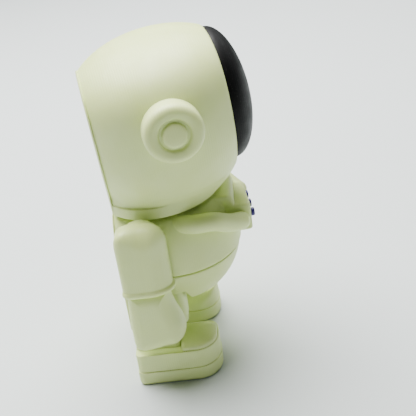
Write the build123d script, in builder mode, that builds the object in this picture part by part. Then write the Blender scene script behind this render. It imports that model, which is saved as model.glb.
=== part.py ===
from build123d import *
import os
from math import sin, cos, radians, sqrt

# Jointed toy astronaut with a flat back. Millimetres, +Z up, the figure faces -Y, its right side is -X.
# The pieces are drawn about the belly's vertical axis. On writing they move by ORIGIN_X and ORIGIN_Y, so
# that the origin is on the ground under the middle of the whole figure.

# ---------------------------------------------------------------- driving dimensions
ORIGIN_X = -0.9               # from the plane of symmetry to the middle of the figure, with the head turned
ORIGIN_Y = 3.36               # from the belly's axis to the middle of the figure, front to back
BACK_Y = 15.2                 # flat back of the torso, the pelvis and the legs
RUN = 0.05                    # radial clearance of a turning peg
GAP = 0.35                    # clearance between bodies that move past each other

# head, in its own upright frame before it is leaned back and turned
HEAD_LEAN = 2.84              # degrees, top towards +Y
HEAD_TURN = 11.5              # degrees, towards the figure's left
NECK_Y = 0.85                 # neck axis
NECK_Z = 53.2                 # collar's lower rim on the neck axis
DOME_R = 24.6                 # helmet's widest radius
DOME_Y = -3.6                 # centre of the helmet's round part
DOME_Z = 80.6                 # height of the widest section
DOME_TOP = 98.6               # crown
DOME_POWER = 2.4              # 2 is an ellipse, more is boxier
DOME_SHIFT = 3.14             # how far forward of DOME_Y the crown is
LOWER_SECTIONS = (            # height, centre in y, half-size in x and in y
    (53.2, 0.85, 16.95, 17.0),
    (56.6, -1.1, 17.3, 19.5),
    (60.0, -2.3, 19.6, 20.4),
    (65.0, -2.7, 22.0, 22.1),
    (70.0, -3.2, 23.5, 23.55),
    (75.0, -3.5, 24.3, 24.35),
)
COLLAR_R = 17.5
COLLAR_H = 3.4
COLLAR_STEP = 0.35            # how far the collar band stands out of the helmet
HELMET_BACK_Y = 16.3
HELMET_WALL = 2.2
FACE_Y = -20.6                # plane of the helmet's front opening, at the visor's centre
FACE_LEAN = 1.66              # degrees, top towards +Y
VISOR_BULGE = 8.1
VISOR_HALF_W = 17.2
VISOR_HALF_H = 18.7
VISOR_Z = 77.8
EAR_Z = 80.8
EAR_R = 7.9
EAR_FACE_X = 28.6             # outer face of the ear cup
EAR_BUTTON_R = 3.4
PEG_R = 4.0

# torso and pelvis
BELLY_R = 19.8
BELLY_Z = 38.0
HEM_Z = 35.4
HEM_R = 20.4
DECK_GAP = 1.5                # from the torso's top deck to the collar's rim

# arms
SHOULDER_Y = 6.5
SHOULDER_Z = 48.6
SHOULDER_R = 6.9
BOSS_X = 18.1                 # inner face of the shoulder boss
BOSS_R = 5.6
ARM_IN_X = 20.9
ARM_OUT_X = 27.0
ARM_EDGE_R = 3.6
SLEEVE_END_Z = 32.0
GLOVE_END_Z = 13.3
SHOULDER_PIN_R = 2.6

# legs and boots
HIP_Y = 6.5
HIP_Z = 29.3
HIP_R = 8.5
LEG_IN_X = 5.8
LEG_OUT_X = 16.8
CUFF_OUT_X = 19.6
LEG_END_Z = 16.5
HIP_PIN_R = 2.4
BOOT_X = 13.9
BOOT_HALF_W = 8.7
BOOT_TOE_Y = -10.5
BOOT_HEEL_Y = 14.6
TOE_CORNER_R = 7.4
SOLE_H = 4.7
BAND_TOP_Z = 10.9
CAP_REAR_Y = 0.9
CAP_CROWN = 2.4

# chest pack
BOX_HALF_W = 7.05
BOX_FRONT_Y = -24.1
BOX_TOP_Z = 49.1
BOX_FOOT_Z = 40.4
YOKE_HALF_W = 7.6             # raised part of the chest behind the box
YOKE_FRONT_Y = -19.6
YOKE_TOP_Z = 52.3
KEY_R = 1.2
KEY_Z = 45.3
KEY_PITCH = 5.3
PACK_TURN = 7.0               # degrees, the far end of the pack sits further back
HOSE_R = 2.6

os.makedirs("parts", exist_ok=True)
HEAD_POSE = (
    Location((0, NECK_Y, NECK_Z))
    * Location((0, 0, 0), (-HEAD_LEAN, 0, 0))
    * Location((0, 0, 0), (0, 0, HEAD_TURN))
    * Location((0, -NECK_Y, -NECK_Z))
)
NECK_PLANE = Plane(origin=(0, NECK_Y, NECK_Z), z_dir=(0, sin(radians(HEAD_LEAN)), cos(radians(HEAD_LEAN))))
DECK_PLANE = NECK_PLANE.offset(-DECK_GAP)
FACE_PLANE = Plane(
    origin=(0, FACE_Y, VISOR_Z), x_dir=(1, 0, 0), z_dir=(0, -cos(radians(FACE_LEAN)), sin(radians(FACE_LEAN)))
)


def save(solid, name, place=None):
    """Label a finished piece, put it in its place and write it."""
    solid = Location((ORIGIN_X, ORIGIN_Y, 0)) * (place or Location()) * solid
    solid.label = name
    export_step(solid, f"parts/{name}.step")


def both_sides(right, name):
    """Write a right-hand piece and its mirror image."""
    save(right, f"{name}_right")
    save(mirror(right, about=Plane.YZ), f"{name}_left")


# ---------------------------------------------------------------- helmet
def helmet_sections(inset):
    """Height, centre and half-sizes of the helmet's sections, from the collar to the crown."""
    rows = [(z, y, x_half - inset, y_half - inset) for z, y, x_half, y_half in LOWER_SECTIONS]
    for step in (0, 12, 24, 36, 47, 57, 66, 74, 81, 86):
        rise = sin(radians(step)) ** (2 / DOME_POWER)
        radius = (DOME_R - inset) * cos(radians(step)) ** (2 / DOME_POWER)
        z = DOME_Z + (DOME_TOP - DOME_Z - inset) * rise
        rows.append((z, DOME_Y - DOME_SHIFT * rise**2, radius, radius))
    return rows


def helmet_form(inset, foot_z):
    """Solid helmet shape from foot_z to the crown, shrunk by inset, still without its flat cuts."""
    with BuildPart() as form:
        for z, y, x_half, y_half in helmet_sections(inset):
            with BuildSketch(Plane.XY.offset(z)):
                with Locations((0, y)):
                    Ellipse(x_half, y_half)
        loft()
        split(bisect_by=Plane.XY.offset(foot_z), keep=Keep.TOP)
        if foot_z == NECK_Z:
            with BuildSketch(Plane.XY.offset(NECK_Z)):
                with Locations((0, NECK_Y)):
                    Circle(COLLAR_R - inset)
            extrude(amount=COLLAR_H)
    return form.part


helmet_outer = helmet_form(0, NECK_Z)
helmet_inner = helmet_form(HELMET_WALL, 59.0)

with BuildPart() as helmet_shell:
    add(helmet_outer)
    add(helmet_inner, mode=Mode.SUBTRACT)
    # flat back, where the back plate closes the shell
    split(bisect_by=Plane.XZ.offset(-(HELMET_BACK_Y - 1.0)), keep=Keep.TOP)
    split(bisect_by=FACE_PLANE, keep=Keep.BOTTOM)
    # hollow under the collar, over the torso's deck
    with BuildSketch(Plane.XY.offset(NECK_Z)):
        with Locations((0, NECK_Y)):
            Circle(COLLAR_R - 2.4)
    extrude(amount=2.0, mode=Mode.SUBTRACT)
    # neck boss with its bore, standing on the floor
    with BuildSketch(Plane.XY.offset(58.0)):
        with Locations((0, NECK_Y)):
            Circle(PEG_R + 2.5)
    extrude(amount=5.0)
    with BuildSketch(Plane.XY.offset(NECK_Z)):
        with Locations((0, NECK_Y)):
            Circle(PEG_R)
    extrude(amount=8.5, mode=Mode.SUBTRACT)
    # seats for the ear cups
    for side in (-1, 1):
        with BuildSketch(Plane.YZ.offset(side * 22.6)):
            with Locations((DOME_Y, EAR_Z)):
                Circle(EAR_R)
        extrude(amount=side * 5, mode=Mode.SUBTRACT)
save(helmet_shell.part, "helmet_shell", HEAD_POSE)

with BuildPart() as helmet_back_plate:
    add(helmet_form(-0.35, NECK_Z))
    split(bisect_by=Plane.XZ.offset(-(HELMET_BACK_Y - 1.0)), keep=Keep.BOTTOM)
    split(bisect_by=Plane.XZ.offset(-HELMET_BACK_Y), keep=Keep.TOP)
save(helmet_back_plate.part, "helmet_back_plate", HEAD_POSE)

with BuildPart() as visor:
    with BuildSketch(Plane.YZ):
        with BuildLine():
            Line((0, 0), (0, VISOR_HALF_W))
            EllipticalCenterArc((0, 0), VISOR_BULGE, VISOR_HALF_W, start_angle=90, arc_size=90)
            Line((-VISOR_BULGE, 0), (0, 0))
        make_face()
    revolve(axis=Axis.Y)
    # flange that slides into the helmet's front opening
    with BuildSketch(Plane.XZ):
        Circle(VISOR_HALF_W - 1.8)
    extrude(amount=-1.6)
visor_form = Location((0, FACE_Y, VISOR_Z), (-FACE_LEAN, 0, 0)) * scale(
    visor.part, by=(1, 1, VISOR_HALF_H / VISOR_HALF_W)
)
with BuildPart() as visor:
    add(visor_form)
    add(helmet_shell.part, mode=Mode.SUBTRACT)
save(visor.part, "visor", HEAD_POSE)

for side, word in ((-1, "right"), (1, "left")):
    with BuildPart() as ear_cup:
        with BuildSketch(Plane.YZ.offset(side * 22.6)):
            with Locations((DOME_Y, EAR_Z)):
                Circle(EAR_R)
        extrude(amount=side * (EAR_FACE_X - 22.6))
        rim = ear_cup.faces().sort_by(Axis.X)[0 if side < 0 else -1]
        fillet(rim.edges(), 1.8)
        with BuildSketch(Plane.YZ.offset(side * EAR_FACE_X)):
            with Locations((DOME_Y, EAR_Z)):
                Circle(EAR_BUTTON_R + 0.6)
        extrude(amount=-side * 1.3, mode=Mode.SUBTRACT)
        with BuildSketch(Plane.YZ.offset(side * EAR_FACE_X)):
            with Locations((DOME_Y, EAR_Z)):
                Circle(1.5)
        extrude(amount=-side * 3.2, mode=Mode.SUBTRACT)
    save(ear_cup.part, f"ear_cup_{word}", HEAD_POSE)
    with BuildPart() as ear_button:
        with BuildSketch(Plane.YZ.offset(side * (EAR_FACE_X - 1.3))):
            with Locations((DOME_Y, EAR_Z)):
                Circle(EAR_BUTTON_R)
        extrude(amount=side * 1.5)
        face = ear_button.faces().sort_by(Axis.X)[0 if side < 0 else -1]
        fillet(face.edges(), 0.7)
        with BuildSketch(Plane.YZ.offset(side * (EAR_FACE_X - 1.3))):
            with Locations((DOME_Y, EAR_Z)):
                Circle(1.5)
        extrude(amount=-side * 1.8)
    save(ear_button.part, f"ear_button_{word}", HEAD_POSE)

with BuildPart() as neck_peg:
    with BuildSketch(Plane.XY.offset(NECK_Z + 8.5)):
        with Locations((0, NECK_Y)):
            Circle(PEG_R)
    extrude(amount=-20.0)
    foot = neck_peg.faces().sort_by(Axis.Z)[0]
    chamfer(foot.edges(), 0.6)
save(neck_peg.part, "neck_peg", HEAD_POSE)

# ---------------------------------------------------------------- torso
SLOT_W = LEG_OUT_X - LEG_IN_X + 2 * GAP

with BuildPart() as torso_round:
    with BuildSketch(Plane.YZ):
        with BuildLine():
            Line((0, HEM_Z), (-HEM_R, HEM_Z))
            Bezier((-HEM_R, HEM_Z), (-HEM_R - 0.1, 39.0), (-20.0, 44.5), (-18.4, 48.2))
            Bezier((-18.4, 48.2), (-17.6, 50.2), (-16.3, 52.3), (-13.0, 53.4))
            Line((-13.0, 53.4), (0, 53.4))
            Line((0, 53.4), (0, HEM_Z))
        make_face()
    revolve(axis=Axis.Z)
    # yoke: the raised part of the chest that the box stands against
    with BuildSketch(Plane.YZ.offset(-YOKE_HALF_W)):
        with BuildLine():
            Polyline(
                (YOKE_FRONT_Y, 42.0),
                (YOKE_FRONT_Y, YOKE_TOP_Z - 2.2),
                (YOKE_FRONT_Y + 0.8, YOKE_TOP_Z - 0.7),
                (YOKE_FRONT_Y + 2.2, YOKE_TOP_Z),
                (-8.0, YOKE_TOP_Z + 0.6),
                (-8.0, 42.0),
                close=True,
            )
        make_face()
    extrude(amount=2 * YOKE_HALF_W)
    split(bisect_by=DECK_PLANE, keep=Keep.BOTTOM)
torso_form = torso_round.part

with BuildPart() as torso_jacket:
    add(torso_form)
    split(bisect_by=Plane.XZ.offset(-(BACK_Y - 1.0)), keep=Keep.TOP)
    # neck bore, square to the deck
    with BuildSketch(DECK_PLANE):
        Circle(PEG_R + RUN)
    extrude(amount=-12.0, mode=Mode.SUBTRACT)
    for side in (-1, 1):
        # armhole pocket and the blind bore for the shoulder pin
        with BuildSketch(Plane.YZ.offset(side * (BOSS_X - GAP))):
            with Locations((SHOULDER_Y, SHOULDER_Z)):
                Circle(BOSS_R + GAP)
        extrude(amount=side * 6, mode=Mode.SUBTRACT)
        with BuildSketch(Plane.YZ.offset(side * (BOSS_X - GAP))):
            with Locations((SHOULDER_Y, SHOULDER_Z)):
                Circle(SHOULDER_PIN_R + RUN)
        extrude(amount=-side * 8.3, mode=Mode.SUBTRACT)
        # room for the top of the leg inside the hem
        with BuildSketch(Plane.YZ.offset(side * (LEG_IN_X - GAP))):
            with Locations((HIP_Y, HIP_Z)):
                Circle(HIP_R + GAP)
        extrude(amount=side * SLOT_W, mode=Mode.SUBTRACT)
save(torso_jacket.part, "torso_jacket")

with BuildPart() as torso_back_plate:
    add(torso_form)
    split(bisect_by=Plane.XZ.offset(-(BACK_Y - 1.0)), keep=Keep.BOTTOM)
    split(bisect_by=Plane.XZ.offset(-BACK_Y), keep=Keep.TOP)
    for side in (-1, 1):
        with BuildSketch(Plane.YZ.offset(side * (LEG_IN_X - GAP))):
            with Locations((HIP_Y, HIP_Z)):
                Circle(HIP_R + GAP)
        extrude(amount=side * SLOT_W, mode=Mode.SUBTRACT)
save(torso_back_plate.part, "torso_back_plate")

with BuildPart() as pelvis:
    with BuildSketch(Plane.YZ):
        with BuildLine():
            low = BELLY_Z - (BELLY_R - 0.2)
            Line((0, HEM_Z), (-sqrt((BELLY_R - 0.2) ** 2 - (BELLY_Z - HEM_Z) ** 2), HEM_Z))
            RadiusArc((-sqrt((BELLY_R - 0.2) ** 2 - (BELLY_Z - HEM_Z) ** 2), HEM_Z), (0, low), -(BELLY_R - 0.2))
            Line((0, low), (0, HEM_Z))
        make_face()
    revolve(axis=Axis.Z)
    split(bisect_by=Plane.XZ.offset(-BACK_Y), keep=Keep.TOP)
    for side in (-1, 1):
        # slot for the leg: round about the hip, straight below it, and clear through its swing
        with BuildSketch(Plane.YZ.offset(side * (LEG_IN_X - GAP))):
            with Locations((HIP_Y, HIP_Z)):
                Circle(HIP_R + GAP)
            for swing in (-12, -6, 0, 7, 14):
                with Locations(Location((HIP_Y, HIP_Z), swing)):
                    with Locations((0, -15)):
                        Rectangle(2 * (HIP_R + GAP), 30)
        extrude(amount=side * SLOT_W, mode=Mode.SUBTRACT)
    with BuildSketch(Plane.YZ.offset(-LEG_IN_X)):
        with Locations((HIP_Y, HIP_Z)):
            Circle(HIP_PIN_R + RUN)
    extrude(amount=2 * LEG_IN_X, mode=Mode.SUBTRACT)
save(pelvis.part, "pelvis")

# ---------------------------------------------------------------- chest pack
PACK_POSE = (
    Location((-BOX_HALF_W, BOX_FRONT_Y, 0))
    * Location((0, 0, 0), (0, 0, PACK_TURN))
    * Location((BOX_HALF_W, -BOX_FRONT_Y, 0))
)

with BuildPart() as box_block:
    with BuildSketch(Plane.XY.offset(BOX_FOOT_Z)):
        with Locations((0, (BOX_FRONT_Y - 15.0) / 2)):
            Rectangle(2 * BOX_HALF_W, -15.0 - BOX_FRONT_Y)
    extrude(amount=BOX_TOP_Z - BOX_FOOT_Z)
    fillet(box_block.edges().filter_by(lambda e: e.center().Y < -16), 0.7)
    # shallow seats for the keys
    with BuildSketch(Plane.XZ.offset(-BOX_FRONT_Y)):
        with GridLocations(KEY_PITCH, 0, 3, 1):
            with Locations((0, KEY_Z)):
                Circle(KEY_R)
    extrude(amount=-0.6, mode=Mode.SUBTRACT)

with BuildPart() as chest_box:
    add(PACK_POSE * box_block.part)
    add(torso_form, mode=Mode.SUBTRACT)
chest_form = chest_box.part
save(chest_box.part, "chest_box")

for word, x in (("right", -KEY_PITCH), ("middle", 0), ("left", KEY_PITCH)):
    with BuildPart() as key:
        with BuildSketch(Plane.XZ.offset(-BOX_FRONT_Y - 0.6)):
            with Locations((x, KEY_Z)):
                Circle(KEY_R)
        extrude(amount=1.25)
        fillet(key.faces().sort_by(Axis.Y)[0].edges(), 0.3)
    save(PACK_POSE * key.part, f"chest_key_{word}")

for side, word, end_y in ((-1, "right", -21.1), (1, "left", -19.7)):
    with BuildPart() as hose:
        with BuildLine() as route:
            FilletPolyline(
                (side * 14.4, -3.2, 49.6),
                (side * 17.8, -7.6, 50.3),
                (side * 16.6, -13.2, 50.2),
                (side * 12.4, end_y + 3.6, 46.4),
                (side * 9.3, end_y, 45.1),
                radius=(5.0, 6.0, 6.0),
            )
        with BuildSketch(Plane(origin=route.line @ 0, z_dir=route.line % 0)):
            Circle(HOSE_R)
        sweep()
        with Locations(route.line @ 1):
            Sphere(HOSE_R)
        add(torso_form, mode=Mode.SUBTRACT)
        add(chest_form, mode=Mode.SUBTRACT)
    save(hose.part, f"hose_{word}")

# ---------------------------------------------------------------- arms
ARM_MID_X = (ARM_IN_X + ARM_OUT_X) / 2
ARM_T = ARM_OUT_X - ARM_IN_X


with BuildPart() as sleeve_upper:
    with BuildSketch(Plane.YZ.offset(-ARM_OUT_X)):
        with Locations((SHOULDER_Y, (SHOULDER_Z + SLEEVE_END_Z) / 2)):
            Rectangle(2 * SHOULDER_R, SHOULDER_Z - SLEEVE_END_Z)
    extrude(amount=ARM_T)
    fillet(sleeve_upper.edges().filter_by(Axis.Z).group_by(Axis.X)[0], ARM_EDGE_R)

with BuildPart() as sleeve_hem:
    with BuildSketch(Plane.XY.offset(SLEEVE_END_Z)):
        with Locations((-(ARM_IN_X + (ARM_T + 0.5) / 2), SHOULDER_Y - 0.2)):
            RectangleRounded(ARM_T + 0.5, 2 * SHOULDER_R + 0.9, 3.0)
    extrude(amount=1.6)
    fillet(sleeve_hem.faces().sort_by(Axis.Z)[-1].edges(), 0.7)

with BuildPart() as sleeve_right:
    with BuildSketch(Plane.YZ.offset(-ARM_OUT_X)):
        with Locations((SHOULDER_Y, SHOULDER_Z)):
            Circle(SHOULDER_R)
    extrude(amount=ARM_T)
    fillet(sleeve_right.faces().sort_by(Axis.X)[0].edges(), ARM_EDGE_R)
    with BuildSketch(Plane.YZ.offset(-ARM_IN_X)):
        with Locations((SHOULDER_Y, SHOULDER_Z)):
            Circle(BOSS_R)
    extrude(amount=ARM_IN_X - BOSS_X)
    add(sleeve_upper.part)
    add(sleeve_hem.part)
    # blind bores for the shoulder pin and the glove's peg
    with BuildSketch(Plane.YZ.offset(-BOSS_X)):
        with Locations((SHOULDER_Y, SHOULDER_Z)):
            Circle(SHOULDER_PIN_R)
    extrude(amount=-6.0, mode=Mode.SUBTRACT)
    with BuildSketch(Plane.XY.offset(SLEEVE_END_Z)):
        with Locations((-ARM_MID_X, SHOULDER_Y)):
            Circle(1.8)
    extrude(amount=4.0, mode=Mode.SUBTRACT)
both_sides(sleeve_right.part, "sleeve")

with BuildPart() as glove_right:
    with BuildSketch(Plane.YZ.offset(-ARM_OUT_X + 0.2)):
        with BuildLine():
            Line((0.9, SLEEVE_END_Z), (12.7, SLEEVE_END_Z))
            Line((12.7, SLEEVE_END_Z), (13.3, 24.0))
            Line((13.3, 24.0), (13.3, GLOVE_END_Z + 3.5))
            RadiusArc((13.3, GLOVE_END_Z + 3.5), (9.8, GLOVE_END_Z), 3.5)
            Line((9.8, GLOVE_END_Z), (4.6, GLOVE_END_Z + 0.8))
            Bezier((4.6, GLOVE_END_Z + 0.8), (-0.5, 14.6), (-2.2, 17.5), (-2.1, 21.6))
            Bezier((-2.1, 21.6), (-1.9, 26.0), (0.4, 27.0), (0.9, SLEEVE_END_Z))
        make_face()
    extrude(amount=ARM_T - 0.2)
    outer = glove_right.faces().sort_by(Axis.X)[0]
    fillet(outer.edges().filter_by(lambda e: e.center().Z < SLEEVE_END_Z - 0.1), 2.2)
    with BuildSketch(Plane.XY.offset(SLEEVE_END_Z)):
        with Locations((-ARM_MID_X, SHOULDER_Y)):
            Circle(1.8)
    extrude(amount=4.0)
both_sides(glove_right.part, "glove")

with BuildPart() as shoulder_pin_right:
    with BuildSketch(Plane.YZ.offset(-(BOSS_X + 6.0))):
        with Locations((SHOULDER_Y, SHOULDER_Z)):
            Circle(SHOULDER_PIN_R)
    extrude(amount=14.0)
    chamfer(shoulder_pin_right.faces().sort_by(Axis.X)[-1].edges(), 0.5)
both_sides(shoulder_pin_right.part, "shoulder_pin")

# ---------------------------------------------------------------- legs
LEG_W = LEG_OUT_X - LEG_IN_X
with BuildPart() as leg_right:
    with BuildSketch(Plane.YZ.offset(-LEG_OUT_X)):
        with Locations((HIP_Y, HIP_Z)):
            Circle(HIP_R)
        with Locations((HIP_Y, (HIP_Z + LEG_END_Z) / 2)):
            Rectangle(2 * HIP_R, HIP_Z - LEG_END_Z)
    extrude(amount=LEG_W)
    fillet(leg_right.edges().filter_by(Axis.Z).group_by(Axis.Y)[0], 4.0)
    with BuildSketch(Plane.YZ.offset(-LEG_IN_X)):
        with Locations((HIP_Y, HIP_Z)):
            Circle(HIP_PIN_R)
    extrude(amount=-6.0, mode=Mode.SUBTRACT)
both_sides(leg_right.part, "leg")

with BuildPart() as hip_pin_right:
    with BuildSketch(Plane.YZ.offset(-(LEG_IN_X + 6.0))):
        with Locations((HIP_Y, HIP_Z)):
            Circle(HIP_PIN_R)
    extrude(amount=11.5)
    chamfer(hip_pin_right.faces().sort_by(Axis.X)[-1].edges(), 0.5)
both_sides(hip_pin_right.part, "hip_pin")


def boot_outline(inset):
    """Outline of the boot in plan, round at the toe and nearly square at the heel."""
    toe = BOOT_TOE_Y + inset
    heel = BOOT_HEEL_Y - inset
    with BuildSketch() as outline:
        with Locations((-BOOT_X, (toe + heel) / 2)):
            Rectangle(2 * (BOOT_HALF_W - inset), heel - toe)
        fillet(outline.vertices().group_by(Axis.Y)[0], TOE_CORNER_R - inset)
        fillet(outline.vertices().group_by(Axis.Y)[-1], 1.8)
    return outline.sketch


with BuildPart() as sole_right:
    add(boot_outline(0))
    extrude(amount=SOLE_H)
    fillet(sole_right.faces().sort_by(Axis.Z)[0].edges(), 1.1)
both_sides(sole_right.part, "sole")

with BuildPart() as boot_right:
    add(Plane.XY.offset(SOLE_H) * boot_outline(0.35))
    extrude(amount=BAND_TOP_Z - SOLE_H)
    with BuildSketch(Plane.XY.offset(BAND_TOP_Z)):
        with Locations((-(LEG_IN_X + CUFF_OUT_X) / 2, (CAP_REAR_Y + BOOT_HEEL_Y - 0.35) / 2)):
            RectangleRounded(CUFF_OUT_X - LEG_IN_X, BOOT_HEEL_Y - 0.35 - CAP_REAR_Y, 1.4)
    extrude(amount=LEG_END_Z - BAND_TOP_Z)
both_sides(boot_right.part, "boot")

with BuildPart() as toe_cap_right:
    # an arch across the foot, kept inside a nose-shaped side profile and the boot's outline
    with BuildSketch(Plane.XZ.offset(-CAP_REAR_Y)):
        with BuildLine():
            EllipticalCenterArc(
                (-BOOT_X, BAND_TOP_Z), BOOT_HALF_W - 0.2, CAP_CROWN, start_angle=0, arc_size=180
            )
            Line((-BOOT_X - BOOT_HALF_W + 0.2, BAND_TOP_Z), (-BOOT_X + BOOT_HALF_W - 0.2, BAND_TOP_Z))
        make_face()
    extrude(amount=CAP_REAR_Y - BOOT_TOE_Y)
    with BuildSketch(Plane.YZ.offset(-BOOT_X - BOOT_HALF_W)):
        with BuildLine():
            nose = BOOT_TOE_Y + 0.2
            Line((CAP_REAR_Y, BAND_TOP_Z), (CAP_REAR_Y, BAND_TOP_Z + CAP_CROWN))
            Bezier(
                (CAP_REAR_Y, BAND_TOP_Z + CAP_CROWN),
                (-5.5, BAND_TOP_Z + CAP_CROWN),
                (nose, BAND_TOP_Z + 1.9),
                (nose, BAND_TOP_Z),
            )
            Line((nose, BAND_TOP_Z), (CAP_REAR_Y, BAND_TOP_Z))
        make_face()
    extrude(amount=2 * BOOT_HALF_W, mode=Mode.INTERSECT)
    add(Plane.XY.offset(BAND_TOP_Z) * boot_outline(0.2))
    extrude(amount=CAP_CROWN + 1, mode=Mode.INTERSECT)
both_sides(toe_cap_right.part, "toe_cap")
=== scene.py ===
import math

import bpy
import numpy as np
from mathutils import Matrix, Vector


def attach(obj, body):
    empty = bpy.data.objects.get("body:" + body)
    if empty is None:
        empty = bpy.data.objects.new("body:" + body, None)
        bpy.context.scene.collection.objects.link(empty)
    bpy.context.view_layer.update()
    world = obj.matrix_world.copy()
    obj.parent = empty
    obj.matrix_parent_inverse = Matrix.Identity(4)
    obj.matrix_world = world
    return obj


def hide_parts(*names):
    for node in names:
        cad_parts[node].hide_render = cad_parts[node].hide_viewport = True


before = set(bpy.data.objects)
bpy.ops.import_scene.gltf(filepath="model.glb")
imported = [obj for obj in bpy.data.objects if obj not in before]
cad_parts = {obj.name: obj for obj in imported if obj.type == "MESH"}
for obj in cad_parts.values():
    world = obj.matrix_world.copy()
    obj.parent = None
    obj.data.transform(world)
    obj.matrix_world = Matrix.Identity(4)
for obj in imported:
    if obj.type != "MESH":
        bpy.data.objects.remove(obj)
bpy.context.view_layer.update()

# Shapes are worked out in millimetres, about the belly's axis or in the head's own frame.
# make() moves them into the row frame and writes them in metres.
MM = 0.001
# room left round a shoulder boss and round the top of a leg
GAP = 0.35
# the belly's axis in the row frame
ORIGIN_X = -0.9
ORIGIN_Y = 3.36

# head, in its own upright frame
NECK_Y = 0.85
NECK_Z = 53.2
HEAD_LEAN = math.radians(2.84)
HEAD_TURN = math.radians(11.5)
DOME_R = 24.6
DOME_Y = -3.6
DOME_Z = 80.6
DOME_TOP = 98.6
DOME_POWER = 2.4
DOME_SHIFT = 3.14
COLLAR_R = 17.5
COLLAR_H = 3.4
COLLAR_RIDGE = 0.35
SEAT_WALL = 2.4
SEAT_DEPTH = 2.0
HELMET_BACK_Y = 16.3
HELMET_LIP_H = 0.55
HELMET_LIP_OUT = 0.35
FACE_Y = -20.6
FACE_LEAN = math.radians(1.66)
VISOR_BULGE = 8.1
VISOR_HALF_W = 17.2
VISOR_HALF_H = 18.7
VISOR_Z = 77.8
VISOR_SEAT = 0.6
EAR_Z = 80.8
EAR_R = 7.9
EAR_FACE_X = 28.6
EAR_INNER_X = 21.0
EAR_BUTTON_R = 3.4
EAR_GROOVE_HALF_W = 0.35
EAR_GROOVE_DEPTH = 0.9
# height, centre in y, half-size in x and in y
HELMET_SECTIONS = (
    (NECK_Z, NECK_Y, 16.95, 17.0),
    (56.6, -1.1, 17.3, 19.5),
    (60.0, -2.3, 19.6, 20.4),
    (65.0, -2.7, 22.0, 22.1),
    (70.0, -3.2, 23.5, 23.55),
    (75.0, -3.5, 24.3, 24.35),
    (DOME_Z, DOME_Y, DOME_R, DOME_R),
)

# torso and pelvis, about the belly's axis
BACK_Y = 15.2
BACK_LIP_H = 0.5
BACK_LIP_OUT = 0.25
BELLY_R = 20.1
BELLY_Z = 38.3
HEM_Z = 35.4
HEM_R = 20.25
DECK_GAP = 1.5
NECK_HOLE_R = 4.05

# arms
SHOULDER_Y = 6.5
SHOULDER_Z = 48.6
SHOULDER_R = 6.9
# the shoulder's top is a superellipse, squarer behind its middle than in front and a little flattened
SHOULDER_POWER_FRONT = 2.6
SHOULDER_POWER_REAR = 3.6
SHOULDER_SQUASH = 1.1
BOSS_R = 5.6
BOSS_X = 18.1
ARM_IN_X = 20.9
ARM_OUT_X = 27.0
SLEEVE_END_Z = 34.6
SLEEVE_LIP_H = 1.5
SLEEVE_LIP_OUT = 0.45
GLOVE_END_Z = 14.6

# legs and boots
HIP_Y = 6.5
HIP_Z = 29.3
HIP_R = 8.5
LEG_IN_X = 5.8
LEG_OUT_X = 16.8
CUFF_OUT_X = 19.6
LEG_END_Z = 16.5
# swings of the leg, in degrees, that the pelvis leaves room for
HIP_SWINGS = (-12, -6, 0, 7, 14)
BOOT_X = 13.9
BOOT_HALF_W = 8.7
BOOT_TOE_Y = -10.5
BOOT_HEEL_Y = 14.6
TOE_CORNER_R = 7.4
SOLE_H = 4.7
BAND_INSET = 0.2
BAND_TOP_Z = 10.9
CAP_REAR_Y = 0.9
CAP_CROWN = 2.4

# chest pack
BOX_HALF_W = 7.05
BOX_FRONT_Y = -24.1
BOX_REAR_Y = -15.0
BOX_TOP_Z = 49.1
BOX_FOOT_Z = 40.4
YOKE_HALF_W = 7.6
YOKE_FRONT_Y = -19.6
YOKE_REAR_Y = -8.0
YOKE_TOP_Z = 52.9
YOKE_FOOT_Z = 42.0
KEY_R = 1.2
KEY_SEAT = 0.6
KEY_HIGH = 1.1
KEY_Z = 45.3
KEY_PITCH = 5.3
PACK_TURN = math.radians(7.0)
HOSE_R = 2.6
HOSE_ROUTE = (
    (-14.4, -3.2, 49.6),
    (-18.0, -7.5, 50.3),
    (-17.2, -13.4, 50.6),
    (-12.6, -17.8, 46.4),
    (-9.4, -20.9, 45.1),
)

BODY = Matrix.Translation((ORIGIN_X, ORIGIN_Y, 0))
HEAD = (
    BODY
    @ Matrix.Translation((0, NECK_Y, NECK_Z))
    @ Matrix.Rotation(-HEAD_LEAN, 4, "X")
    @ Matrix.Rotation(HEAD_TURN, 4, "Z")
    @ Matrix.Translation((0, -NECK_Y, -NECK_Z))
)
# the chest pack is turned about its near front edge
PACK = (
    BODY
    @ Matrix.Translation((-BOX_HALF_W, BOX_FRONT_Y, 0))
    @ Matrix.Rotation(PACK_TURN, 4, "Z")
    @ Matrix.Translation((BOX_HALF_W, -BOX_FRONT_Y, 0))
)


# ---------------------------------------------------------------- distance fields
def join(a, b, r=0.0):
    """Union of two fields with a soft inner corner of about radius r."""
    if np.ndim(r) == 0 and r <= 0:
        return np.minimum(a, b)
    h = np.maximum(r - np.abs(a - b), 0.0) / r
    return np.minimum(a, b) - h * h * r * 0.25


def cut(a, b, r=0.0):
    """Common part of two fields with a rounded edge of about radius r."""
    return -join(-a, -b, r)


def slab(u, low, high):
    """Field of the layer between two planes."""
    return np.maximum(low - u, u - high)


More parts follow.
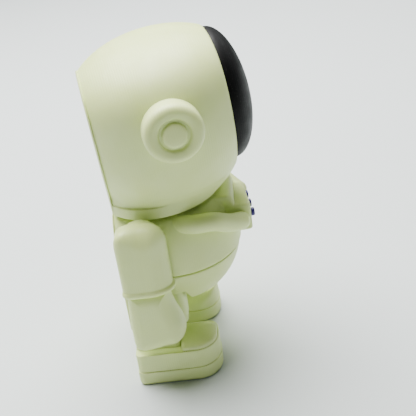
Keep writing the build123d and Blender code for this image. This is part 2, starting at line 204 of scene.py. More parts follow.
def polygon(u, v, points):
    """Signed distance to a closed polygon, negative inside."""
    best = np.full(np.shape(u), 1e9)
    inside = np.zeros(np.shape(u), bool)
    for (u0, v0), (u1, v1) in zip(points, points[1:] + points[:1]):
        du = u1 - u0
        dv = v1 - v0
        length2 = du * du + dv * dv
        if length2 < 1e-9:
            continue
        t = np.clip(((u - u0) * du + (v - v0) * dv) / length2, 0, 1)
        best = np.minimum(best, (u - u0 - t * du) ** 2 + (v - v0 - t * dv) ** 2)
        if abs(dv) > 1e-9:
            crosses = (v0 > v) != (v1 > v)
            inside ^= crosses & (u < u0 + (v - v0) * du / dv)
    return np.where(inside, -1.0, 1.0) * np.sqrt(best)


def bezier(points, steps=12):
    """Points along a Bezier curve, without its last one."""
    out = []
    for i in range(steps):
        t = i / steps
        level = [np.array(p, float) for p in points]
        while len(level) > 1:
            level = [(1 - t) * a + t * b for a, b in zip(level, level[1:])]
        out.append(tuple(level[0]))
    return out


def rows(z, table, column):
    """Smooth value of a table's column at height z, and its slope: a cubic through the rows."""
    zs = np.array([r[0] for r in table])
    vs = np.array([r[column] for r in table])
    secant = np.diff(vs) / np.diff(zs)
    slope = np.zeros(len(vs))
    slope[1:-1] = np.where(
        secant[:-1] * secant[1:] > 0,
        2 * secant[:-1] * secant[1:] / (secant[:-1] + secant[1:] + 1e-12),
        0,
    )
    slope[0] = secant[0]
    slope[-1] = 0
    z = np.clip(z, zs[0], zs[-1])
    i = np.clip(np.searchsorted(zs, z, side="right") - 1, 0, len(zs) - 2)
    h = zs[i + 1] - zs[i]
    t = (z - zs[i]) / h
    value = (
        (2 * t**3 - 3 * t**2 + 1) * vs[i]
        + (t**3 - 2 * t**2 + t) * h * slope[i]
        + (3 * t**2 - 2 * t**3) * vs[i + 1]
        + (t**3 - t**2) * h * slope[i + 1]
    )
    rate = (
        (6 * t**2 - 6 * t) * (vs[i] - vs[i + 1]) / h
        + (3 * t**2 - 4 * t + 1) * slope[i]
        + (3 * t**2 - 2 * t) * slope[i + 1]
    )
    return value, rate


def outline_of(u, v, mid_u, half_u, low_v, high_v, low_r, high_r):
    """Rectangle in u and v whose corners are round, by low_r at low_v and high_r at high_v."""
    middle = (low_v + high_v) / 2
    half_v = (high_v - low_v) / 2
    r = np.where(v < middle, low_r, high_r)
    qu = np.abs(u - mid_u) - half_u + r
    qv = np.abs(v - middle) - half_v + r
    return np.hypot(np.maximum(qu, 0), np.maximum(qv, 0)) + np.minimum(np.maximum(qu, qv), 0) - r


# ---------------------------------------------------------------- surfaces from fields
def surface(field, low, high, step):
    """A closed quad mesh on the field's zero surface, one point in each grid cell that it crosses.

    low and high are opposite corners of a box that holds the whole surface, and step is the grid's size.
    """
    low = np.array(low, float) - 2 * step
    count = np.ceil((np.array(high, float) + 2 * step - low) / step).astype(int) + 1
    axes = [low[k] + step * np.arange(count[k]) for k in range(3)]
    x, y, z = np.meshgrid(*axes, indexing="ij")
    values = field(x, y, z)
    inside = values < 0
    total = np.zeros(tuple(count - 1), np.int8)
    for i in (0, 1):
        for j in (0, 1):
            for k in (0, 1):
                total += inside[
                    i : count[0] - 1 + i, j : count[1] - 1 + j, k : count[2] - 1 + k
                ]
    mixed = (total > 0) & (total < 8)
    cells = np.argwhere(mixed)
    index = np.full(mixed.shape, -1)
    index[mixed] = np.arange(len(cells))
    position = np.zeros((len(cells), 3))
    weight = np.zeros(len(cells))
    for axis in range(3):
        for a in (0, 1):
            for b in (0, 1):
                start = np.insert(np.array([a, b]), axis, 0)
                end = np.insert(np.array([a, b]), axis, 1)
                f0 = values[tuple((cells + start).T)]
                f1 = values[tuple((cells + end).T)]
                crosses = (f0 < 0) != (f1 < 0)
                t = np.where(crosses, f0 / np.where(crosses, f0 - f1, 1), 0)
                position += np.where(crosses[:, None], start + t[:, None] * (end - start), 0)
                weight += crosses
    points = low + step * (cells + position / weight[:, None])
    for _ in range(3):
        value, slope = gradient(field, points)
        move = (value / np.maximum((slope**2).sum(1), 0.05))[:, None] * slope
        size = np.linalg.norm(move, axis=1, keepdims=True)
        points -= move * np.minimum(1, 0.5 * step / np.maximum(size, 1e-9))
    faces = []
    for axis in range(3):
        other = [k for k in range(3) if k != axis]
        if axis == 1:
            other.reverse()
        first = np.take(inside, range(count[axis] - 1), axis)
        second = np.take(inside, range(1, count[axis]), axis)
        for mask, turn in ((first & ~second, 1), (second & ~first, -1)):
            edges = np.argwhere(mask)
            keep = (edges[:, other] > 0).all(1) & (edges[:, other] < count[other] - 1).all(1)
            edges = edges[keep]
            quad = []
            for a, b in ((-1, -1), (0, -1), (0, 0), (-1, 0)):
                corner = edges.copy()
                corner[:, other[0]] += a
                corner[:, other[1]] += b
                quad.append(index[tuple(corner.T)])
            faces.append(np.stack(quad[::turn], 1))
    return points, np.concatenate(faces)


def gradient(field, points, reach=0.03):
    """The field and its slope at some points."""
    x, y, z = points.T
    value = field(x, y, z)
    slope = np.stack(
        [
            field(x + reach, y, z) - field(x - reach, y, z),
            field(x, y + reach, z) - field(x, y - reach, z),
            field(x, y, z + reach) - field(x, y, z - reach),
        ],
        1,
    ) / (2 * reach)
    return value, slope


def make(name, field, low, high, step, place, body, replaces, material, mirrored=False):
    """Build a piece from its field and put it on its CAD body in place of its CAD nodes."""
    points, faces = surface(field, low, high, step)
    _, slope = gradient(field, points)
    normals = slope / np.maximum(np.linalg.norm(slope, axis=1, keepdims=True), 1e-9)
    if mirrored:
        points = points * (-1, 1, 1)
        normals = normals * (-1, 1, 1)
        faces = faces[:, ::-1]
    turn = np.array(place.to_3x3())
    points = (points @ turn.T + np.array(place.translation)) * MM
    normals = normals @ turn.T
    mesh = bpy.data.meshes.new(name)
    mesh.from_pydata(points.tolist(), [], faces.tolist())
    mesh.polygons.foreach_set("use_smooth", np.ones(len(faces), bool))
    mesh.normals_split_custom_set_from_vertices(normals.tolist())
    mesh.materials.append(material)
    piece = bpy.data.objects.new(name, mesh)
    bpy.context.scene.collection.objects.link(piece)
    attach(piece, body)
    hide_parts(*replaces)
    return piece


# ---------------------------------------------------------------- materials
def node(tree, kind, **inputs):
    """Add a shader node and set some of its inputs."""
    made = tree.nodes.new(kind)
    for key, value in inputs.items():
        made.inputs[key.replace("_", " ")].default_value = value
    return made


def plastic(
    name, colour, deep, turned=False, layers=0.35, rough=(0.36, 0.5), speckle=0.0, glow=0.15, shine=0.5
):
    """Printed plastic: fine layers stacked from the flat back forward, slow banding and faint mottling."""
    material = bpy.data.materials.new(name)
    material.use_nodes = True
    tree = material.node_tree
    tree.nodes.clear()
    out = tree.nodes.new("ShaderNodeOutputMaterial")
    shader = tree.nodes.new("ShaderNodeBsdfPrincipled")
    tree.links.new(shader.outputs["BSDF"], out.inputs["Surface"])
    shader.inputs["Specular IOR Level"].default_value = shine
    if glow:
        shader.subsurface_method = "RANDOM_WALK"
        shader.inputs["Subsurface Weight"].default_value = glow
        shader.inputs["Subsurface Radius"].default_value = (1.0, 0.95, 0.55)
        shader.inputs["Subsurface Scale"].default_value = 0.0025
    place = tree.nodes.new("ShaderNodeTexCoord")
    mapping = tree.nodes.new("ShaderNodeMapping")
    if turned:
        mapping.inputs["Rotation"].default_value = (HEAD_LEAN, 0, -HEAD_TURN)
    tree.links.new(place.outputs["Object"], mapping.inputs["Vector"])

    # slow mottling of the colour
    mottle = node(tree, "ShaderNodeTexNoise", Scale=140.0, Detail=4.0, Roughness=0.55)
    tree.links.new(mapping.outputs["Vector"], mottle.inputs["Vector"])
    ramp = tree.nodes.new("ShaderNodeValToRGB")
    ramp.color_ramp.elements[0].position = 0.3
    ramp.color_ramp.elements[0].color = (*deep, 1)
    ramp.color_ramp.elements[1].position = 0.7
    ramp.color_ramp.elements[1].color = (*colour, 1)
    tree.links.new(mottle.outputs["Fac"], ramp.inputs["Fac"])
    last = ramp.outputs["Color"]
    if speckle:
        dots = node(tree, "ShaderNodeTexNoise", Scale=2600.0, Detail=2.0, Roughness=0.7)
        tree.links.new(mapping.outputs["Vector"], dots.inputs["Vector"])
        level = tree.nodes.new("ShaderNodeValToRGB")
        level.color_ramp.elements[0].position = 0.62
        level.color_ramp.elements[0].color = (0, 0, 0, 1)
        level.color_ramp.elements[1].position = 0.74
        level.color_ramp.elements[1].color = (speckle, speckle, speckle * 0.95, 1)
        tree.links.new(dots.outputs["Fac"], level.inputs["Fac"])
        mix = tree.nodes.new("ShaderNodeMix")
        mix.data_type = "RGBA"
        mix.blend_type = "ADD"
        mix.inputs["Factor"].default_value = 1.0
        tree.links.new(last, mix.inputs[6])
        tree.links.new(level.outputs["Color"], mix.inputs[7])
        last = mix.outputs[2]
    tree.links.new(last, shader.inputs["Base Color"])

    # layer lines: fine waves along the print's height, with slow uneven bands over them
    wave = node(tree, "ShaderNodeTexWave", Scale=500.0, Distortion=1.2, Detail=1.0)
    wave.inputs["Detail Scale"].default_value = 0.6
    wave.bands_direction = "Y"
    tree.links.new(mapping.outputs["Vector"], wave.inputs["Vector"])
    stretch = tree.nodes.new("ShaderNodeMapping")
    stretch.inputs["Scale"].default_value = (20, 900, 20)
    tree.links.new(mapping.outputs["Vector"], stretch.inputs["Vector"])
    bands = node(tree, "ShaderNodeTexNoise", Scale=1.0, Detail=2.0, Roughness=0.6)
    tree.links.new(stretch.outputs["Vector"], bands.inputs["Vector"])
    grain = node(tree, "ShaderNodeTexNoise", Scale=1800.0, Detail=3.0, Roughness=0.6)
    tree.links.new(mapping.outputs["Vector"], grain.inputs["Vector"])
    both = tree.nodes.new("ShaderNodeMath")
    both.operation = "MULTIPLY_ADD"
    both.inputs[1].default_value = 0.35
    tree.links.new(wave.outputs["Fac"], both.inputs[0])
    tree.links.new(bands.outputs["Fac"], both.inputs[2])
    all_three = tree.nodes.new("ShaderNodeMath")
    all_three.operation = "MULTIPLY_ADD"
    all_three.inputs[1].default_value = 0.25
    tree.links.new(grain.outputs["Fac"], all_three.inputs[0])
    tree.links.new(both.outputs["Value"], all_three.inputs[2])
    bump = tree.nodes.new("ShaderNodeBump")
    bump.inputs["Strength"].default_value = layers
    bump.inputs["Distance"].default_value = 0.00012
    tree.links.new(all_three.outputs["Value"], bump.inputs["Height"])
    tree.links.new(bump.outputs["Normal"], shader.inputs["Normal"])

    # roughness varies with the same grain and with slow patches
    patches = node(tree, "ShaderNodeTexNoise", Scale=260.0, Detail=3.0, Roughness=0.5)
    tree.links.new(mapping.outputs["Vector"], patches.inputs["Vector"])
    spread = tree.nodes.new("ShaderNodeMapRange")
    spread.inputs["From Min"].default_value = 0.3
    spread.inputs["From Max"].default_value = 0.7
    spread.inputs["To Min"].default_value = rough[0]
    spread.inputs["To Max"].default_value = rough[1]
    tree.links.new(patches.outputs["Fac"], spread.inputs["Value"])
    tree.links.new(spread.outputs["Result"], shader.inputs["Roughness"])
    return material


GLOW = (0.76, 0.86, 0.37)
GLOW_DEEP = (0.73, 0.84, 0.32)
glow_head = plastic("glow_plastic_head", GLOW, GLOW_DEEP, turned=True)
glow_body = plastic("glow_plastic_body", GLOW, GLOW_DEEP)
visor_black = plastic(
    "visor_black", (0.004, 0.004, 0.004), (0.002, 0.002, 0.002), turned=True, layers=0.18,
    rough=(0.42, 0.58), speckle=0.03, glow=0.0, shine=0.12,
)
key_blue = plastic(
    "key_blue", (0.022, 0.012, 0.16), (0.016, 0.009, 0.12), layers=0.3, rough=(0.3, 0.4), glow=0.0
)


# ---------------------------------------------------------------- head
def oval(x, y, half_x, half_y):
    """Distance to an ellipse, close to true near its outline."""
    k0 = np.hypot(x / half_x, y / half_y)
    k1 = np.hypot(x / half_x**2, y / half_y**2)
    return k0 * (k0 - 1) / np.maximum(k1, 1e-6)


def helmet_round(x, y, z):
    """The helmet before its flat cuts: oval sections whose centre moves, under a full dome."""
    height = np.minimum(z, DOME_Z)
    centre, _ = rows(height, HELMET_SECTIONS, 1)
    half_x, flare = rows(height, HELMET_SECTIONS, 2)
    half_y, _ = rows(height, HELMET_SECTIONS, 3)
    low = oval(x, y - centre, half_x, half_y) / np.sqrt(1 + flare**2)
    up = np.maximum(z - DOME_Z, 0) / (DOME_TOP - DOME_Z)
    rho = np.hypot(x, y - DOME_Y + DOME_SHIFT * np.minimum(up, 1.2) ** 2)
    share = ((rho / DOME_R) ** DOME_POWER + up**DOME_POWER) ** (1 / DOME_POWER)
    return np.where(z > DOME_Z, (share - 1) * DOME_R, low)


def face_plane(y, z):
    """Depth behind the leaned plane of the face opening, and height up it from the visor's middle."""
    behind = (y - FACE_Y) * math.cos(FACE_LEAN) - (z - VISOR_Z) * math.sin(FACE_LEAN)
    up = (y - FACE_Y) * math.sin(FACE_LEAN) + (z - VISOR_Z) * math.cos(FACE_LEAN)
    return behind, up


def helmet(x, y, z):
    """The helmet with its face opening, flat back, collar and the seat under it."""
    body = helmet_round(x, y, z)
    # collar band, whose upper ridge stands out at the back and fades forward
    ridge = np.clip((y + 6.0) / 18.0, 0, 1) * COLLAR_RIDGE
    band = np.hypot(x, y - NECK_Y) - (COLLAR_R - COLLAR_RIDGE) - ridge
    band = cut(band, z - (NECK_Z + COLLAR_H), 0.35)
    body = join(body, band, 0.25)
    body = cut(body, y - HELMET_BACK_Y + 0.4, 0.2)
    body = cut(body, -face_plane(y, z)[0], 0.5)
    body = cut(body, NECK_Z - z, 0.5)
    seat = np.hypot(x, y - NECK_Y) - (COLLAR_R - SEAT_WALL)
    return np.maximum(body, -cut(seat, z - NECK_Z - SEAT_DEPTH, 0.4))


def helmet_back(x, y, z):
    """First layers of the helmet's flat back, a thin lip all round."""
    form = helmet_round(x, y, z) - HELMET_LIP_OUT
    form = cut(form, slab(y, HELMET_BACK_Y - HELMET_LIP_H, HELMET_BACK_Y), 0.25)
    return cut(form, NECK_Z - z, 0.3)


def visor(x, y, z):
    """Half of an oval body whose flat side lies on the face plane."""
    behind, up = face_plane(y, z)
    across = (x / VISOR_HALF_W) ** 2 + (up / VISOR_HALF_H) ** 2
    out = np.maximum(-behind, 0) / VISOR_BULGE
    share = np.sqrt(across + out**2)
    form = (share - 1) * (VISOR_HALF_W - (VISOR_HALF_W - VISOR_BULGE) * np.clip(out / share, 0, 1))
    return cut(form, behind - VISOR_SEAT, 0.2)


def ear_cup(x, y, z):
    """The left ear disc, with a groove round its button."""
    rho = np.hypot(y - DOME_Y, z - EAR_Z)
    face = EAR_FACE_X - 0.35 * np.clip((6.5 - rho) / 2.2, 0, 1) ** 1.5
    cup = cut(rho - EAR_R, x - face, 2.6)
    groove = np.abs(rho - EAR_BUTTON_R - 0.3) - EAR_GROOVE_HALF_W
    groove = np.maximum(groove, EAR_FACE_X - EAR_GROOVE_DEPTH - x)
    return cut(cut(cup, -groove, 0.9), EAR_INNER_X - x, 0.2)


def ear_button(x, y, z):
    """The left ear's slightly domed button."""
    rho = np.hypot(y - DOME_Y, z - EAR_Z)
    top = EAR_FACE_X + 0.45 - 0.03 * rho**2
    return cut(cut(rho - EAR_BUTTON_R, x - top, 1.2), EAR_FACE_X - 1.5 - x, 0.2)


make("helmet", helmet, (-25, -22.0, NECK_Z), (25, HELMET_BACK_Y, DOME_TOP), 0.36, HEAD, "head",
     ["helmet_shell"], glow_head)
make("helmet_flat_back", helmet_back, (-22, 15.6, NECK_Z), (22, HELMET_BACK_Y, DOME_TOP), 0.22,
     HEAD, "head", ["helmet_back_plate"], glow_head)
make("visor_dome", visor, (-17.4, -29.4, 58.6), (17.4, -19.4, 97.0), 0.3, HEAD, "head",
     ["visor"], visor_black)
for word, mirrored in (("left", False), ("right", True)):
    make(f"ear_pod_{word}", ear_cup, (21, -11.7, 72.7), (EAR_FACE_X, 4.5, 88.9), 0.22, HEAD, "head",
         [f"ear_cup_{word}"], glow_head, mirrored)
    make(f"ear_disc_{word}", ear_button, (26.8, -7.2, 77.2), (29.0, 0.0, 84.4), 0.16, HEAD, "head",
         [f"ear_button_{word}"], glow_head, mirrored)


# ---------------------------------------------------------------- torso
# radius and height
TORSO_PROFILE = (
    [(-1.0, HEM_Z)]
    + [(HEM_R, HEM_Z)]
    + bezier([(HEM_R, HEM_Z), (20.5, 39.0), (20.0, 44.5), (18.4, 48.2)])
    + bezier([(18.4, 48.2), (17.6, 50.2), (16.3, 52.3), (13.0, 53.4)])
    + [(13.0, 53.4), (-1.0, 53.4)]
)


def deck(y, z):
    """Height above the torso's top deck, square to the neck."""
    return (
        (y - NECK_Y) * math.sin(HEAD_LEAN) + (z - NECK_Z) * math.cos(HEAD_LEAN) + DECK_GAP
    )


def torso_round(x, y, z):
    """The torso before its flat cuts: a turned body with a yoke in front."""
    body = polygon(np.hypot(x, y), z, TORSO_PROFILE)
    yoke = cut(slab(y, YOKE_FRONT_Y, YOKE_REAR_Y), z - YOKE_TOP_Z, 3.6)
    yoke = cut(np.maximum(yoke, YOKE_FOOT_Z - z), np.abs(x) - YOKE_HALF_W, 1.0)
    return join(body, yoke, 0.8)


def leg_room(x, y, z):
    """Room round the top of a leg inside the torso."""
    hip = np.hypot(y - HIP_Y, z - HIP_Z) - (HIP_R + GAP)
    return np.maximum(hip, slab(np.abs(x), LEG_IN_X - GAP, LEG_OUT_X + GAP))


def jacket(x, y, z):
    """The torso above its hem, with pockets for the shoulders, the neck peg and the legs."""
    body = cut(torso_round(x, y, z), deck(y, z), 0.6)
    body = cut(body, y - BACK_Y + 0.4, 0.2)
    pocket = np.hypot(y - SHOULDER_Y, z - SHOULDER_Z) - (BOSS_R + GAP)
    body = cut(body, -np.maximum(pocket, BOSS_X - GAP - np.abs(x)), 0.4)
    neck = np.hypot(x, y - NECK_Y) - NECK_HOLE_R
    body = np.maximum(body, -neck)
    body = cut(body, HEM_Z + 0.35 - z, 0.6)
    return np.maximum(body, -leg_room(x, y, z))


def jacket_back(x, y, z):
    """First layers of the torso's flat back, a thin lip all round."""
    form = cut(torso_round(x, y, z) - BACK_LIP_OUT, slab(y, BACK_Y - BACK_LIP_H, BACK_Y), 0.2)
    form = np.maximum(form, deck(y, z))
    return np.maximum(form, -leg_room(x, y, z))


def pelvis(x, y, z):
    """The round belly below the hem, with room for the legs to swing."""
    body = np.sqrt(x**2 + y**2 + (z - BELLY_Z) ** 2) - BELLY_R
    body = cut(body, z - HEM_Z + 0.1, 0.7)
    body = cut(body, y - BACK_Y, 0.4)
    room = leg_room(x, y, z)
    for swing in HIP_SWINGS:
        a = math.radians(swing)
        along = (y - HIP_Y) * math.cos(a) + (z - HIP_Z) * math.sin(a)
        down = (y - HIP_Y) * math.sin(a) - (z - HIP_Z) * math.cos(a)
        leg = np.maximum(np.abs(along) - (HIP_R + GAP), -down)
        room = np.minimum(room, np.maximum(leg, slab(np.abs(x), LEG_IN_X - GAP, LEG_OUT_X + GAP)))
    return cut(body, -room, 0.3)


make("jacket", jacket, (-20.6, -20.6, HEM_Z), (20.6, BACK_Y, 53.6), 0.34, BODY, "torso",
     ["torso_jacket"], glow_body)
make("jacket_flat_back", jacket_back, (-14.2, 14.6, HEM_Z), (14.2, BACK_Y, 53.6), 0.2, BODY, "torso",
     ["torso_back_plate"], glow_body)
make("belly", pelvis, (-20, -20, 18), (20, BACK_Y, HEM_Z), 0.34, BODY, "torso",
     ["pelvis"], glow_body)


# ---------------------------------------------------------------- chest pack
def chest_box(x, y, z):
    """The chest pack with a seat for each key."""
    body = cut(np.abs(x) - BOX_HALF_W, slab(y, BOX_FRONT_Y, BOX_REAR_Y), 0.9)
    body = cut(body, slab(z, BOX_FOOT_Z, BOX_TOP_Z), 0.9)
    for place in (-KEY_PITCH, 0, KEY_PITCH):
        seat = np.maximum(np.hypot(x - place, z - KEY_Z) - KEY_R, y - BOX_FRONT_Y - KEY_SEAT)
        body = np.maximum(body, -seat)
    return body


def key(x, y, z):
    """The middle key, standing in its seat."""
    layer = slab(y, BOX_FRONT_Y - KEY_HIGH, BOX_FRONT_Y + KEY_SEAT)
    return cut(np.hypot(x, z - KEY_Z) - KEY_R, layer, 0.4)


make("chest_pack", chest_box, (-BOX_HALF_W, BOX_FRONT_Y, BOX_FOOT_Z), (BOX_HALF_W, BOX_REAR_Y, BOX_TOP_Z),
     0.2, PACK, "torso", ["chest_box"], glow_body)
for word, x in (("right", -KEY_PITCH), ("middle", 0), ("left", KEY_PITCH)):
    make(f"key_{word}", key, (-KEY_R, BOX_FRONT_Y - KEY_HIGH, KEY_Z - KEY_R),
         (KEY_R, BOX_FRONT_Y + KEY_SEAT, KEY_Z + KEY_R), 0.1, PACK @ Matrix.Translation((x, 0, 0)),
         "torso", [f"chest_key_{word}"], key_blue)


def spline(points, per_span=10):
    """Smooth line with these points as its quadratic control points, from the first to the last."""
    p = [np.array(q, float) for q in points]
    joints = [p[0]] + [(a + b) / 2 for a, b in zip(p[1:-1], p[2:-1])] + [p[-1]]
    out = []
    for i in range(len(joints) - 1):
        for s in range(per_span):
            t = s / per_span
            out.append((1 - t) ** 2 * joints[i] + 2 * t * (1 - t) * p[i + 1] + t * t * joints[i + 1])
    return out + [joints[-1]]


HOSE_LINE = spline(HOSE_ROUTE)


def hose(x, y, z):
    """The right hose, ended where it meets the torso."""
    best = np.full(np.shape(x), 1e9)
    for a, b in zip(HOSE_LINE, HOSE_LINE[1:]):
        d = b - a
        t = np.clip(((x - a[0]) * d[0] + (y - a[1]) * d[1] + (z - a[2]) * d[2]) / (d @ d), 0, 1)
        best = np.minimum(
            best,
            (x - a[0] - t * d[0]) ** 2 + (y - a[1] - t * d[1]) ** 2 + (z - a[2] - t * d[2]) ** 2,
        )
    tube = np.sqrt(best) - HOSE_R
    return np.maximum(tube, -torso_round(x, y, z) - 0.5)


for word, mirrored in (("right", False), ("left", True)):
    make(f"tube_{word}", hose, (-20.5, -25, 43), (-7, -0.5, 53.5), 0.24, BODY, "torso",
         [f"hose_{word}"], glow_body, mirrored)


# ---------------------------------------------------------------- arms
def arm_section(x, y, depth, grow=0.0):
    """An arm's section, with a full outer edge at the front and a small one at the flat back.

    depth is the distance from the arm's middle line, and grow widens the section.
    """
    full = np.clip((SHOULDER_Y + 6.0 - y) / 7.0, 0, 1)
    full = full * full * (3 - 2 * full)
    wide = 2.0 + 2.7 * full
    deep = 2.6 + 4.0 * full
    qx = x - (ARM_OUT_X + grow - wide)
    qy = depth - (SHOULDER_R + grow - deep)
    corner = oval(np.maximum(qx, 0), np.maximum(qy, 0), wide, deep)
    flat = np.maximum(qx - wide, qy - deep)
    outer = np.where((qx > 0) & (qy > 0), corner, flat)
    return cut(outer, ARM_IN_X - x, 0.6)


def sleeve(x, y, z):
    """The right upper arm, with its boss and a hem at its lower end."""
    x = -x
    dy = y - SHOULDER_Y
    dz = np.maximum(z - SHOULDER_Z, 0)
    round_top = np.hypot(dy, z - SHOULDER_Z)
    power = np.where(dy > 0, SHOULDER_POWER_REAR, SHOULDER_POWER_FRONT)
    depth = (np.abs(dy) ** power + (dz * SHOULDER_SQUASH) ** power) ** (1 / power)
    arm = np.maximum(arm_section(x, y, depth), SLEEVE_END_Z - z)
    boss = np.maximum(round_top - BOSS_R, slab(x, BOSS_X, ARM_IN_X + 1.0))
    arm = join(arm, boss, 0.3)
    lip = arm_section(x, y + 0.2, np.abs(y + 0.2 - SHOULDER_Y), SLEEVE_LIP_OUT)
    hem = cut(lip, slab(z, SLEEVE_END_Z, SLEEVE_END_Z + SLEEVE_LIP_H), 0.8)
    return join(arm, hem, 0.5)


# y and z
GLOVE_PROFILE = (
    [(0.9, SLEEVE_END_Z + 0.5), (12.7, SLEEVE_END_Z + 0.5), (13.3, 24.0), (13.3, GLOVE_END_Z + 3.5)]
    + bezier(
        [(13.3, GLOVE_END_Z + 3.5), (13.3, GLOVE_END_Z + 1.4), (12.0, GLOVE_END_Z), (9.8, GLOVE_END_Z)]
    )
    + bezier([(9.8, GLOVE_END_Z), (7.5, GLOVE_END_Z), (6.0, GLOVE_END_Z + 0.3), (4.6, GLOVE_END_Z + 0.8)])
    + bezier([(4.6, GLOVE_END_Z + 0.8), (-0.5, 14.6), (-2.2, 17.5), (-2.1, 21.6)])
    + bezier([(-2.1, 21.6), (-1.9, 26.0), (0.4, 27.0), (0.9, SLEEVE_END_Z + 0.5)])
)


def glove(x, y, z):
    """The right mitten, drawn as an outline in y and z."""
    x = -x
    form = polygon(y, z, GLOVE_PROFILE)
    form = cut(form, x - (ARM_OUT_X - 0.2), np.clip(6.5 - 0.2 * (y + 2.0), 3.6, 6.5))
    form = cut(form, ARM_IN_X - x, 0.8)
    return np.maximum(form, z - SLEEVE_END_Z)


for word, mirrored in (("right", False), ("left", True)):
    body = f"arm_{word}"
    make(f"upper_arm_{word}", sleeve, (-ARM_OUT_X - 0.5, -1.1, SLEEVE_END_Z), (-BOSS_X, 13.6, 55.6), 0.26,
         BODY, body, [f"sleeve_{word}"], glow_body, mirrored)
    make(f"mitt_{word}", glove, (-ARM_OUT_X, -2.3, GLOVE_END_Z), (-ARM_IN_X, 13.4, SLEEVE_END_Z), 0.26,
         BODY, body, [f"glove_{word}"], glow_body, mirrored)


# ---------------------------------------------------------------- legs and boots
def leg(x, y, z):
    """The right leg above its boot, round at the hip."""
    x = -x
    round_top = np.hypot(y - HIP_Y, z - HIP_Z) - HIP_R
    side = np.where(z > HIP_Z, round_top, np.abs(y - HIP_Y) - HIP_R)
    form = cut(side, slab(x, LEG_IN_X, LEG_OUT_X), 3.0)
    back = cut(side, slab(x, LEG_IN_X, LEG_OUT_X), 0.5)
    form = np.where(y > HIP_Y, back, form)
    return np.maximum(form, LEG_END_Z - z)


def foot(x, y, inset=0.0):
    """Outline of the right boot seen from above."""
    half_w = BOOT_HALF_W - inset
    return outline_of(x, y, -BOOT_X, half_w, BOOT_TOE_Y + inset, BOOT_HEEL_Y - inset, TOE_CORNER_R, 1.8)


def sole(x, y, z):
    """The right boot's sole."""
    form = foot(x, y)
    form = cut(form, z - SOLE_H, 0.25)
    return cut(form, -z, 1.3)


def boot(x, y, z):
    """The right boot's band and its cuff."""
    band = cut(foot(x, y, BAND_INSET), slab(z, SOLE_H, BAND_TOP_Z), 0.3)
    # the inner upper edge is cut off at 45 degrees
    band = cut(band, 0.7 * (x + 8.2) + 0.7 * (z - BAND_TOP_Z), 1.5)
    middle = -(LEG_IN_X + CUFF_OUT_X) / 2
    half_w = (CUFF_OUT_X - LEG_IN_X) / 2
    cuff = outline_of(x, y, middle, half_w, CAP_REAR_Y, BOOT_HEEL_Y - 0.35, 1.4, 1.4)
    cuff = cut(cuff, slab(z, SOLE_H, LEG_END_Z), 0.3)
    return join(band, cuff, 0.3)


def toe_cap(x, y, z):
    """The low dome on the front of the right boot."""
    rise = np.maximum(z - BAND_TOP_Z, 0) / CAP_CROWN
    arch = (np.hypot((x + BOOT_X) / (BOOT_HALF_W - BAND_INSET), rise) - 1) * CAP_CROWN
    reach = CAP_REAR_Y - BOOT_TOE_Y - BAND_INSET
    nose = (np.hypot(np.maximum(CAP_REAR_Y - y, 0) / reach, rise) - 1) * CAP_CROWN
    form = cut(arch, nose, 1.0)
    form = cut(form, foot(x, y, BAND_INSET), 1.0)
    # and so is the cap's inner side
    form = cut(form, 0.7 * (x + 9.0) + 0.7 * (z - BAND_TOP_Z - 0.6), 2.5)
    form = cut(form, y - CAP_REAR_Y, 1.2)
    return np.maximum(form, BAND_TOP_Z - z)


for word, mirrored in (("right", False), ("left", True)):
    body = f"leg_{word}"
    make(f"thigh_{word}", leg, (-LEG_OUT_X, -2.1, LEG_END_Z), (-LEG_IN_X, 15.1, 37.9), 0.3, BODY, body,
         [f"leg_{word}"], glow_body, mirrored)
    make(f"boot_body_{word}", boot, (-22.4, -10.3, SOLE_H), (-5.2, 14.4, LEG_END_Z), 0.26, BODY, body,
         [f"boot_{word}"], glow_body, mirrored)
    make(f"boot_cap_{word}", toe_cap, (-22.6, -10.4, BAND_TOP_Z), (-5.2, CAP_REAR_Y, 15.6), 0.24,
         BODY, body, [f"toe_cap_{word}"], glow_body, mirrored)
    make(f"boot_sole_{word}", sole, (-22.7, -10.6, 0), (-5.1, 14.7, SOLE_H), 0.26, BODY, body,
         [f"sole_{word}"], glow_body, mirrored)

# the pins and the peg stay as the CAD has them
for name in ("neck_peg", "shoulder_pin_right", "shoulder_pin_left", "hip_pin_right", "hip_pin_left"):
    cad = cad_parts[name]
    cad.data.materials.clear()
    cad.data.materials.append(glow_head if name == "neck_peg" else glow_body)

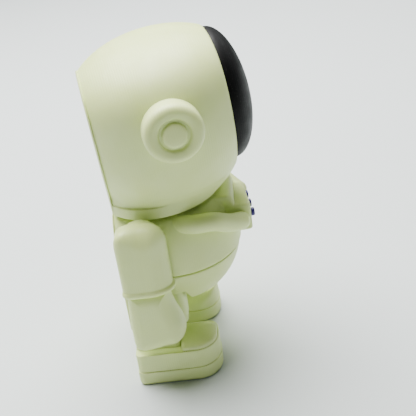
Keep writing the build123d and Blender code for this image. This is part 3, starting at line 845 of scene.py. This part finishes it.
# ---------------------------------------------------------------- floor, light and camera
floor_mesh = bpy.data.meshes.new("floor")
FLOOR_HALF = 3.0
corners = [(a * FLOOR_HALF, b * FLOOR_HALF, 0) for a, b in ((-1, -1), (1, -1), (1, 1), (-1, 1))]
floor_mesh.from_pydata(corners, [], [(0, 1, 2, 3)])
floor = bpy.data.objects.new("floor", floor_mesh)
bpy.context.scene.collection.objects.link(floor)
paper = bpy.data.materials.new("floor_paper")
paper.use_nodes = True
shader = paper.node_tree.nodes["Principled BSDF"]
shader.inputs["Base Color"].default_value = (0.62, 0.66, 0.65, 1)
shader.inputs["Roughness"].default_value = 0.9
shader.inputs["Specular IOR Level"].default_value = 0.1
floor_mesh.materials.append(paper)

world = bpy.data.worlds.new("studio")
bpy.context.scene.world = world
world.use_nodes = True
world.node_tree.nodes["Background"].inputs["Color"].default_value = (0.97, 0.99, 1.0, 1)
world.node_tree.nodes["Background"].inputs["Strength"].default_value = 0.10


def lamp(name, at, aim, size, power, colour=(1, 1, 1)):
    """A round area light at one point, aimed at another."""
    data = bpy.data.lights.new(name, "AREA")
    data.shape = "DISK"
    data.size = size
    data.energy = power
    data.color = colour
    made = bpy.data.objects.new(name, data)
    made.location = at
    made.rotation_euler = (Vector(aim) - Vector(at)).to_track_quat("-Z", "Y").to_euler()
    bpy.context.scene.collection.objects.link(made)


LAMP_AIM = (0, 0, 0.05)
lamp("overhead", (0.17, 0.10, 0.55), LAMP_AIM, 0.6, 15.0)
lamp("far_side", (0.5, -0.35, 0.45), LAMP_AIM, 0.5, 1.2, (0.96, 1.0, 1.0))

# the camera looks along +X and down, in metres and degrees
CAMERA_AT = (-0.21761, -0.02120, 0.16697)
LENS_MM = 73.5577
PITCH = math.radians(29.31)
YAW = math.radians(3.43)
ROLL = math.radians(8.32)
camera_data = bpy.data.cameras.new("camera")
camera_data.sensor_width = 36
camera_data.lens = LENS_MM
camera_data.clip_start = 0.01
camera = bpy.data.objects.new("camera", camera_data)
bpy.context.scene.collection.objects.link(camera)
spin = Matrix.Rotation(YAW, 3, "Z")
forward = spin @ Vector((math.cos(PITCH), 0, -math.sin(PITCH)))
level = spin @ Vector((0, -1, 0))
upright = level.cross(forward)
right = math.cos(ROLL) * level - math.sin(ROLL) * upright
up = math.sin(ROLL) * level + math.cos(ROLL) * upright
pose = Matrix((right, up, -forward)).transposed().to_4x4()
pose.translation = CAMERA_AT
camera.matrix_world = pose
bpy.context.scene.camera = camera
